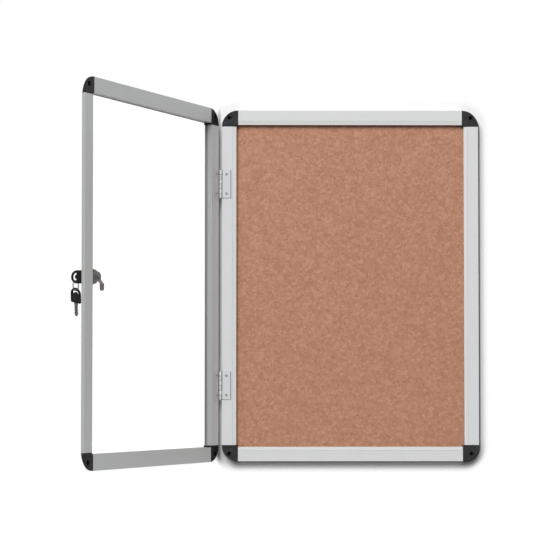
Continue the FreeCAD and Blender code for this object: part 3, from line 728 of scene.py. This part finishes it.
class NOTICEBOARD_OT_dress_hinges(Operator):
    """Plated steel of the hinge leaves, pins and screws"""

    bl_idname = "noticeboard.dress_hinges"
    bl_label = "Dress Hinges"

    def execute(self, context):
        pin = metal("Pin Steel", (0.35, 0.35, 0.36), line_width=0.0002, contrast=0.15)
        screw = metal("Screw Steel", (0.33, 0.33, 0.34), (1, 0, 0), line_width=0.0002, spread=0.2)
        dress(pin, *["hinge_pin_" + level for level in HINGES])
        dress(screw, "frame_hinge_screws", "door_hinge_screws")
        colours = context.scene.notice_colours
        for level in HINGES:
            low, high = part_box("frame_hinge_leaf_" + level)
            # The frame's leaves get a painted shadow along their right and lower border; every leaf
            # gets painted shade beside its barrel, widest on the door's leaves
            border = (high.x - 0.0012, 0.0, low.z + 0.0008)
            framed = hinge_steel(f"Frame Hinge Steel {level}", colours.hinge, low.z, high.z,
                                 side_width=0.0016, side_strength=0.65, border=border)
            plain = hinge_steel(f"Door Hinge Steel {level}", colours.door_hinge, low.z, high.z,
                                side_width=0.0035, side_strength=0.9)
            dress(framed, "frame_hinge_leaf_" + level)
            dress(plain, "door_hinge_leaf_" + level)
        return {"FINISHED"}


KNUCKLES, KNUCKLE_RADIUS = 6, 0.003
NO_BORDER = (1.0, 0.0, -1.0)


def hinge_steel(name, colour, bottom, top, side_width, side_strength, border=NO_BORDER):
    """Plated steel of one hinge leaf, with the dark seams of its knuckles, painted shade beside its
    barrel and, where it has a border corner, a painted shadow along its border.

    The leaf has its own colour, on the door's leaves darker as painted shade, and the knuckles have
    that of the frame's leaves.
    """
    barrel = bpy.context.scene.notice_colours.hinge
    material, tree, shader, place = start_material(name, Metallic=0.6)
    pin = joint("door_swing")["pos_m"]
    drawn = placed_group(tree, "Drawn Lines", place, (
        ("Line Width", 0.0003), ("Color", with_alpha(colour)),
        ("Contrast", 0.12), ("Roughness", 0.36), ("Spread", 0.15)))
    seams = placed_group(tree, "Hinge Seams And Shade", place, (
        ("Bottom", (pin[0], pin[1], bottom)),
        ("Pitch", (top - bottom) / KNUCKLES), ("Barrel Radius", KNUCKLE_RADIUS),
        ("Side Width", side_width), ("Side Strength", side_strength), ("Border Corner", border),
        ("Color", drawn.outputs["Color"]), ("Barrel Color", with_alpha(barrel))))
    tree.links.new(seams.outputs["Color"], shader.inputs["Base Color"])
    tree.links.new(drawn.outputs["Roughness"], shader.inputs["Roughness"])
    height = maths(tree, "SUBTRACT", maths(tree, "MULTIPLY", drawn.outputs["Height"], 0.2),
                   seams.outputs["Mask"])
    raised = node(tree, "Bump", (("Strength", 0.3), ("Distance", 0.0002), ("Height", height)))
    tree.links.new(raised.outputs[0], shader.inputs["Normal"])
    return material


class NOTICEBOARD_OT_fit_lock(Operator):
    """Threaded lock body, nut, washers, plug, cam and cam screw"""

    bl_idname = "noticeboard.fit_lock"
    bl_label = "Fit Lock"

    def execute(self, context):
        sizes = context.scene.notice_sizes
        zinc = metal("Lock Zinc", context.scene.notice_colours.lock, contrast=0.15, spread=0.12,
                     metallic=0.6, bump=0.1, dust=0.08)
        steel = metal("Cam Steel", (0.20, 0.203, 0.205), tuple(LOCK_ALONG), roughness=0.38,
                      spread=0.18, metallic=0.5)
        rubber = moulding("Washer Rubber", context.scene.notice_colours.rubber, bump=0.25)
        dress(zinc, "lock_body", "lock_nut", "lock_plug")
        dress(steel, "lock_cam", "cam_screw")
        dress(rubber, "lock_outer_washer", "lock_inner_washer")
        wear(lock_body(sizes.thread_pitch, sizes.thread_depth), zinc)
        return {"FINISHED"}


def lock_body(pitch, depth):
    """Round head and threaded barrel, bored through, in place of the plain lock body.

    The section is a closed line of (height, radius), carried round the axis. On the barrel the
    radius drops by depth x triangle(height / pitch - turn), which is the thread.
    """
    low, high = (corner[2] for corner in lock_box("lock_body"))
    head_base = high - 0.005
    head, barrel, bore, rim = 0.011, 0.009, 0.00605, 0.0012
    bend = np.linspace(0, math.pi / 2, 7)
    steps = np.arange(low + 0.0006, head_base, pitch / 10)
    outer = np.stack((steps, np.full(len(steps), barrel)), -1)
    section = np.vstack((
        [(low, bore)], [(low, barrel - depth)], outer, [(head_base, barrel)], [(head_base, head)],
        np.stack((high - rim + rim * np.sin(bend), head - rim + rim * np.cos(bend)), -1),
        [(high, bore)], np.stack((np.linspace(high, low, 12)[1:-1], np.full(10, bore)), -1)))
    turn = np.linspace(0, 1, 96, endpoint=False)[None, :]
    height, radius = section[:, :1], section[:, 1:]
    threaded = (np.abs(radius - barrel) < 1e-9) & (height < head_base - 0.001)
    wave = 2 * np.abs((height / pitch - turn) % 1 - 0.5)
    radius = radius - np.where(threaded, depth * wave, 0)
    angle = TAU * turn
    points = grid_points(radius * np.cos(angle), radius * np.sin(angle), height)
    made = mesh_object("lock_body_threaded", [(from_lock_axes(points), True, True)], "door", 35)
    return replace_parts(made, "lock_body")


class NOTICEBOARD_OT_fit_keys(Operator):
    """Two keys with moulded bows and grooved blades, on a split ring"""

    bl_idname = "noticeboard.fit_keys"
    bl_label = "Fit Keys"

    def execute(self, context):
        sizes, colours = context.scene.notice_sizes, context.scene.notice_colours
        nickel = metal("Key Nickel", colours.key, roughness=0.35, metallic=0.7)
        plastic = moulding("Bow Plastic", colours.bow, grain=0.0005, roughness=0.45, spread=0.12,
                           bump=0.15, dust=0.02, Specular_IOR_Level=0.15)
        wear(split_ring(sizes.ring_wire), nickel)
        rear = np.array((0.0, 0.0, lock_box("key_bow")[1][2]))
        for body, prefix, above in (("key", "", rear), ("spare_key", "spare_",
                                                        to_lock_axes(RING_BOTTOM))):
            place = key_place(prefix + "key_blade", above)
            bow = key_bow(prefix + "moulded_bow", place, body, sizes.bow_recess)
            blade = key_blade(prefix + "grooved_blade", place, body, sizes.blade_groove)
            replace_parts(wear(bow, plastic), prefix + "key_bow")
            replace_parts(wear(blade, nickel), prefix + "key_blade")
        return {"FINISHED"}


BOW_LENGTH, BOW_HALF, BOW_THICK = 0.027, 0.0115, 0.0032
SLOT_RADIUS, SLOT_HALF, SLOT_ANGLE = 0.0059, 0.002, math.radians(65)
BLADE_HALF, BLADE_THICK, BLADE_LENGTH = 0.004, 0.002, 0.024


def key_place(blade, above):
    """Carrier for a key's own axes: x from the bow's straight edge to the tip, y across, z through.

    The tip is the middle of the blade's points that are farthest from a place above it on the
    key's middle line, and these two places give the x axis. The blade spreads least along z.
    """
    points = lock_points(blade)
    far = np.linalg.norm(points - above, axis=1)
    tip = points[far > far.max() - 0.001].mean(0)
    along = (tip - above) / np.linalg.norm(tip - above)
    through = np.linalg.svd(points - points.mean(0), full_matrices=False)[2][2]
    across = np.cross(through, along)
    across /= np.linalg.norm(across)
    axes = np.stack((along, across, np.cross(along, across)))

    def place(x, y, z):
        return from_lock_axes(tip + grid_points(x - BLADE_LENGTH, y, z) @ axes)

    return place


def arc_points(x, y, radius, start, end, count=40):
    """Points of an arc from one angle to another, in radians."""
    angle = np.linspace(start, end, count)
    return np.stack((x + radius * np.cos(angle), y + radius * np.sin(angle)), -1)


def key_bow(name, place, body, recess):
    """Moulded bow with a crescent slot, rounded edges and a thumb recess on both faces.

    One grid direction runs round the outline and the slot together, in even steps from the
    rounded end. The other runs across the rim: along the line from outline to slot, over the
    top, round the slot's edge and back below. Its height is half the thickness, less a quarter
    circle at both edges and less recess x a smooth step that starts one rim's width inside.
    """
    middle, corner, half = BOW_HALF - BOW_LENGTH, 0.0022, math.pi / 2
    outline = np.vstack((
        arc_points(middle, 0, BOW_HALF, 2 * half, 3 * half),
        arc_points(-corner, corner - BOW_HALF, corner, 3 * half, 4 * half, 8),
        arc_points(-corner, BOW_HALF - corner, corner, 0, half, 8),
        arc_points(middle, 0, BOW_HALF, half, 2 * half)))
    one, two = math.pi + SLOT_ANGLE, math.pi - SLOT_ANGLE
    ends = [(middle + SLOT_RADIUS * math.cos(a), SLOT_RADIUS * math.sin(a)) for a in (one, two)]
    slot = np.vstack((
        arc_points(middle, 0, SLOT_RADIUS + SLOT_HALF, math.pi, one),
        arc_points(*ends[0], SLOT_HALF, one, one + math.pi, 12),
        arc_points(middle, 0, SLOT_RADIUS - SLOT_HALF, one, two),
        arc_points(*ends[1], SLOT_HALF, two + math.pi, two + TAU, 12),
        arc_points(middle, 0, SLOT_RADIUS + SLOT_HALF, two, math.pi)))
    outer, inner = even_steps(outline, 176), even_steps(slot, 176)
    across = inner - outer
    width = np.linalg.norm(across, axis=1)[:, None]
    edge, rim, step = 0.0008, 0.0018, 0.0010
    bend = np.linspace(0, half, 6)
    share = np.linspace(0, 1, 26)[1:-1]
    inset = np.broadcast_to(edge * (1 - np.cos(bend)), (len(outer), 6))
    drop = np.broadcast_to(edge * (1 - np.sin(bend)), (len(outer), 6))
    flat = edge + (width - 2 * edge) * share
    sunk = recess * smooth((flat - rim) / step) * smooth((width - flat - rim) / step)
    way = np.hstack((inset, flat, width - inset[:, ::-1]))
    height = BOW_THICK / 2 - np.hstack((drop, sunk, drop[:, ::-1]))
    way, height = np.hstack((way, way[:, ::-1])), np.hstack((height, -height[:, ::-1]))
    points = outer[:, None, :] + across[:, None, :] * (way / width)[..., None]
    grid = place(points[..., 0], points[..., 1], height)
    return mesh_object(name, [(grid, True, True)], body, 50)


def key_blade(name, place, body, groove):
    """Cut blade with a groove milled along each face.

    One direction runs from inside the bow to the tip, where the half width is interpolated
    through the cuts. The other runs round the section: the half thickness, less groove x a smooth
    bump beside the middle, on the opposite side below, less a small chamfer at both edges.
    """
    cuts = 0.0055 + 0.0036 * np.arange(4)
    stations = np.concatenate(([-0.002, 0.0037], np.ravel(
        cuts[:, None] + np.array((-0.0006, 0.0006, 0.0018))), [0.019, BLADE_LENGTH]))
    halves = np.concatenate(([BLADE_HALF, BLADE_HALF], np.tile(
        (BLADE_HALF - 0.0011, BLADE_HALF - 0.0011, BLADE_HALF), 4), [BLADE_HALF, 0.0015]))
    along = np.unique(np.concatenate((stations, np.linspace(-0.002, BLADE_LENGTH, 90))))[:, None]
    half = np.interp(along, stations, halves)
    across = half * np.linspace(-1, 1, 41)[None, :]
    chamfer = 0.0002 * smooth((np.abs(across) - half + 0.0003) / 0.0003)
    fade = smooth((0.0205 - along) / 0.002)

    def face(side):
        bump = 1 - smooth((np.abs(across - side * 0.0009) - 0.0005) / 0.0004)
        return side * (BLADE_THICK / 2 - chamfer - groove * fade * bump)

    width = np.hstack((across, across[:, ::-1]))
    height = np.hstack((face(1), face(-1)[:, ::-1]))
    return mesh_object(name, [(place(along, width, height), False, True)], body, 35)


def split_ring(wire):
    """Two turns of flattened wire that cross once, in place of the plain ring.

    The height steps from one turn to the other through a smooth ramp. The section is a rounded
    rectangle, a superellipse of power four.
    """
    centre = (RING_TOP + RING_BOTTOM) / 2
    ring_radius = float(np.linalg.norm(RING_TOP - RING_BOTTOM)) / 2
    half_width, open_end, ramp = 0.00072, 0.12, 0.7
    line = np.linspace(0, 2 * TAU - open_end, 220)[:, None]
    height = (smooth((line - TAU + ramp / 2) / ramp) - 0.5) * wire
    round_section = np.linspace(0, TAU, 16, endpoint=False)[None, :]
    cos, sin = np.cos(round_section), np.sin(round_section)
    stretch = (cos ** 4 + sin ** 4) ** -0.25
    radius = ring_radius + half_width * stretch * cos
    lift = height + wire / 2 * stretch * sin
    angle = line + 0.6
    points = centre + grid_points(radius * np.cos(angle), radius * np.sin(angle), lift) @ LOCK_AXES
    made = mesh_object("split_ring", [(points, False, True)], "ring", 50)
    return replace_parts(made, "key_ring")


class NOTICEBOARD_OT_build_stage(Operator):
    """Pale backdrop behind the board, soft studio lamps and the camera"""

    bl_idname = "noticeboard.build_stage"
    bl_label = "Build Stage"

    def execute(self, context):
        stage = context.scene.notice_stage
        build_backdrop()
        build_lamps(stage)
        build_room(context.scene, stage.room_strength)
        build_camera(context.scene, stage)
        context.scene.view_settings.view_transform = "Standard"
        return {"FINISHED"}


def build_backdrop():
    """One pale sheet: a wall just behind the board that curves into a floor far below."""
    bend = np.linspace(0, math.pi / 2, 16)
    wall_y, wall_top, floor_front, floor_z, radius = 0.0006, 2.2, -3.2, -1.05, 0.35
    across = np.concatenate((
        [wall_y, wall_y], wall_y - radius + radius * np.cos(bend), [floor_front]))
    height = np.concatenate((
        [wall_top, 1.0], floor_z + radius - radius * np.sin(bend), [floor_z]))
    side = np.array((-2.6, -0.8, 0.8, 2.6))
    points = grid_points(side[None, :], across[:, None], height[:, None])
    faces = grid_faces(len(across), len(side), False, False).tolist()
    made = new_object("backdrop", smooth_mesh("backdrop", points.reshape(-1, 3), faces))
    made.data.materials.append(backdrop_paint())


def backdrop_paint():
    """White seen from the front by the camera, in reflections and through the pane.

    Near the board the paint is lit and takes its soft shadow; further out it glows at a strength of
    one. Its colour also carries a painted shadow close under the board's lower and right edge, and
    painted shade in the gap beside the hinges. Rays that carry light pass through.
    """
    material, tree, shader, place = start_material(
        "Backdrop Paint", Roughness=1.0, Specular_IOR_Level=0.0)
    corner, painted_shadow, painted_gap_shade = 0.03, 0.25, 0.5
    half = (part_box("frame_right")[1].x - corner, 1.0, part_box("frame_top")[1].z - corner)

    def step_away(centre, near, far):
        """Smooth step over the distance from the board's rounded outline round a centre."""
        sides = vector_maths(tree, "SUBTRACT", place, centre)
        sides = vector_maths(tree, "ABSOLUTE", sides)
        outside = vector_maths(tree, "SUBTRACT", sides, half)
        outside = vector_maths(tree, "MAXIMUM", outside)
        away = vector_maths(tree, "LENGTH", outside, output=1)
        return smooth_range(tree, maths(tree, "SUBTRACT", away, corner), near, far)

    tone = maths(tree, "MULTIPLY_ADD", noise(tree, place, 3.0), 0.02, 0.97)
    # Painted shadow: the colour is darker inside the board's outline moved right and down
    beside = step_away((0.0052, 0.0, -0.0030), -0.0008, 0.0008)
    lit = maths(tree, "MULTIPLY_ADD", beside, 1.0 - painted_shadow, painted_shadow)
    # Painted shade in the gap between the door's hinge stile and the frame's left edge
    across = node(tree, "SeparateXYZ", ((0, place),)).outputs["X"]
    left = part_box("frame_left")[0].x
    gap = maths(tree, "MULTIPLY", smooth_range(tree, across, left - 0.0005, left - 0.0055),
                smooth_range(tree, across, left - 0.014, left - 0.0095))
    lit = maths(tree, "MULTIPLY", lit, maths(tree, "MULTIPLY_ADD", gap, -painted_gap_shade, 1.0))
    tree.links.new(maths(tree, "MULTIPLY", tone, lit), shader.inputs["Base Color"])
    open_wall = step_away((0.0, 0.0, 0.0), 0.010, 0.024)
    strength = maths(tree, "MULTIPLY_ADD", on_rays(tree, "Is Transmission Ray"), 0.15, 1.0)
    glow = node(tree, "Emission", (("Color", (1, 1, 1, 1)), ("Strength", strength)))
    paint = node(tree, "MixShader", ((0, open_wall), (1, shader.outputs[0]), (2, glow.outputs[0])))
    behind = tree.nodes.new("ShaderNodeNewGeometry").outputs["Backfacing"]
    seen = maths(tree, "MULTIPLY", on_rays(tree, *SEEN_RAYS), maths(tree, "SUBTRACT", 1.0, behind))
    clear = tree.nodes.new("ShaderNodeBsdfTransparent")
    show(tree, node(tree, "MixShader", ((0, seen), (1, clear.outputs[0]), (2, paint.outputs[0]))))
    return material


def area_lamp(name, direction, distance, size, power, middle=(0, 0, 0)):
    """A square lamp that faces a place from a direction."""
    lamp = bpy.data.lights.new(name, "AREA")
    lamp.size = size
    lamp.energy = power
    made = new_object(name, lamp)
    towards = Vector(direction).normalized()
    made.location = Vector(middle) + towards * distance
    made.rotation_euler = towards.to_track_quat("Z", "Y").to_euler()
    return made


def build_lamps(stage):
    """A large soft key at the upper left, of which only a part can glint, and a fill for the door.

    The fill faces the inside of the open door and lights its sections alone.
    """
    glint = 0.15
    direction, distance, size = (-0.29, -1.0, 0.55), 7.0, 3.8
    soft = area_lamp("key_lamp", direction, distance, size, stage.key_power * (1 - glint))
    soft.visible_glossy = False
    area_lamp("glint_lamp", direction, distance, size, stage.key_power * glint)
    fill = area_lamp("door_fill_lamp", -LOCK_OUT, distance, size, stage.door_fill, LOCK_ORIGIN)
    fill.visible_glossy = False
    lit = bpy.data.collections.new("Lit by the door fill")
    for name, made in frame["nodes"].items():
        if name.startswith("door_") and "corner" not in name:
            lit.objects.link(made)
    lit.objects.link(bpy.data.objects["pane_gasket"])
    fill.light_linking.receiver_collection = lit


def build_room(scene, strength):
    """Even light from all sides, that shows as white to the camera, metal and glass."""
    world = bpy.data.worlds.new("Pale Room")
    world.use_nodes = True
    tree = world.node_tree
    tree.nodes.clear()
    level = maths(tree, "MULTIPLY_ADD", on_rays(tree, *SEEN_RAYS), 1.0 - strength, strength)
    light = node(tree, "Background", (("Color", (1, 1, 1, 1)), ("Strength", level)))
    output = tree.nodes.new("ShaderNodeOutputWorld")
    tree.links.new(light.outputs[0], output.inputs["Surface"])
    scene.world = world


def build_camera(scene, stage):
    """Camera low at the board's left, tilted and shifted a little upwards."""
    lens = bpy.data.cameras.new("camera")
    lens.sensor_width = 36.0
    lens.lens = stage.lens
    lens.shift_y = stage.lens_shift
    made = new_object("camera", lens)
    made.location = stage.camera_place
    made.rotation_euler = Euler((math.pi / 2 + stage.camera_pitch, 0.0, -stage.camera_yaw))
    scene.camera = made


OPERATORS = (
    NOTICEBOARD_OT_dress_sections,
    NOTICEBOARD_OT_dress_corners,
    NOTICEBOARD_OT_dress_panel,
    NOTICEBOARD_OT_glaze_door,
    NOTICEBOARD_OT_dress_hinges,
    NOTICEBOARD_OT_fit_lock,
    NOTICEBOARD_OT_fit_keys,
    NOTICEBOARD_OT_build_stage,
)


class NOTICEBOARD_PT_sidebar(Panel):
    """Sizes, colours and steps of the notice board"""

    bl_idname = "NOTICEBOARD_PT_sidebar"
    bl_label = "Notice Board"
    bl_space_type = "VIEW_3D"
    bl_region_type = "UI"
    bl_category = "Notice Board"

    def draw(self, context):
        for owner in (context.scene.notice_sizes, context.scene.notice_colours,
                      context.scene.notice_stage):
            box = self.layout.box()
            for name in owner.__annotations__:
                box.prop(owner, name)
        for operator in OPERATORS:
            self.layout.operator(operator.bl_idname)


CLASSES = (NoticeBoardSizes, NoticeBoardColours, NoticeBoardStage, *OPERATORS,
           NOTICEBOARD_PT_sidebar)


def register():
    """Add the classes and the scene's settings."""
    for cls in CLASSES:
        bpy.utils.register_class(cls)
    bpy.types.Scene.notice_sizes = PointerProperty(type=NoticeBoardSizes)
    bpy.types.Scene.notice_colours = PointerProperty(type=NoticeBoardColours)
    bpy.types.Scene.notice_stage = PointerProperty(type=NoticeBoardStage)


def unregister():
    """Take away what register added."""
    del bpy.types.Scene.notice_stage
    del bpy.types.Scene.notice_colours
    del bpy.types.Scene.notice_sizes
    for cls in reversed(CLASSES):
        bpy.utils.unregister_class(cls)


def main():
    """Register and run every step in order."""
    register()
    for operator in OPERATORS:
        group, name = operator.bl_idname.split(".")
        getattr(getattr(bpy.ops, group), name)()


if __name__ == "__main__":
    main()
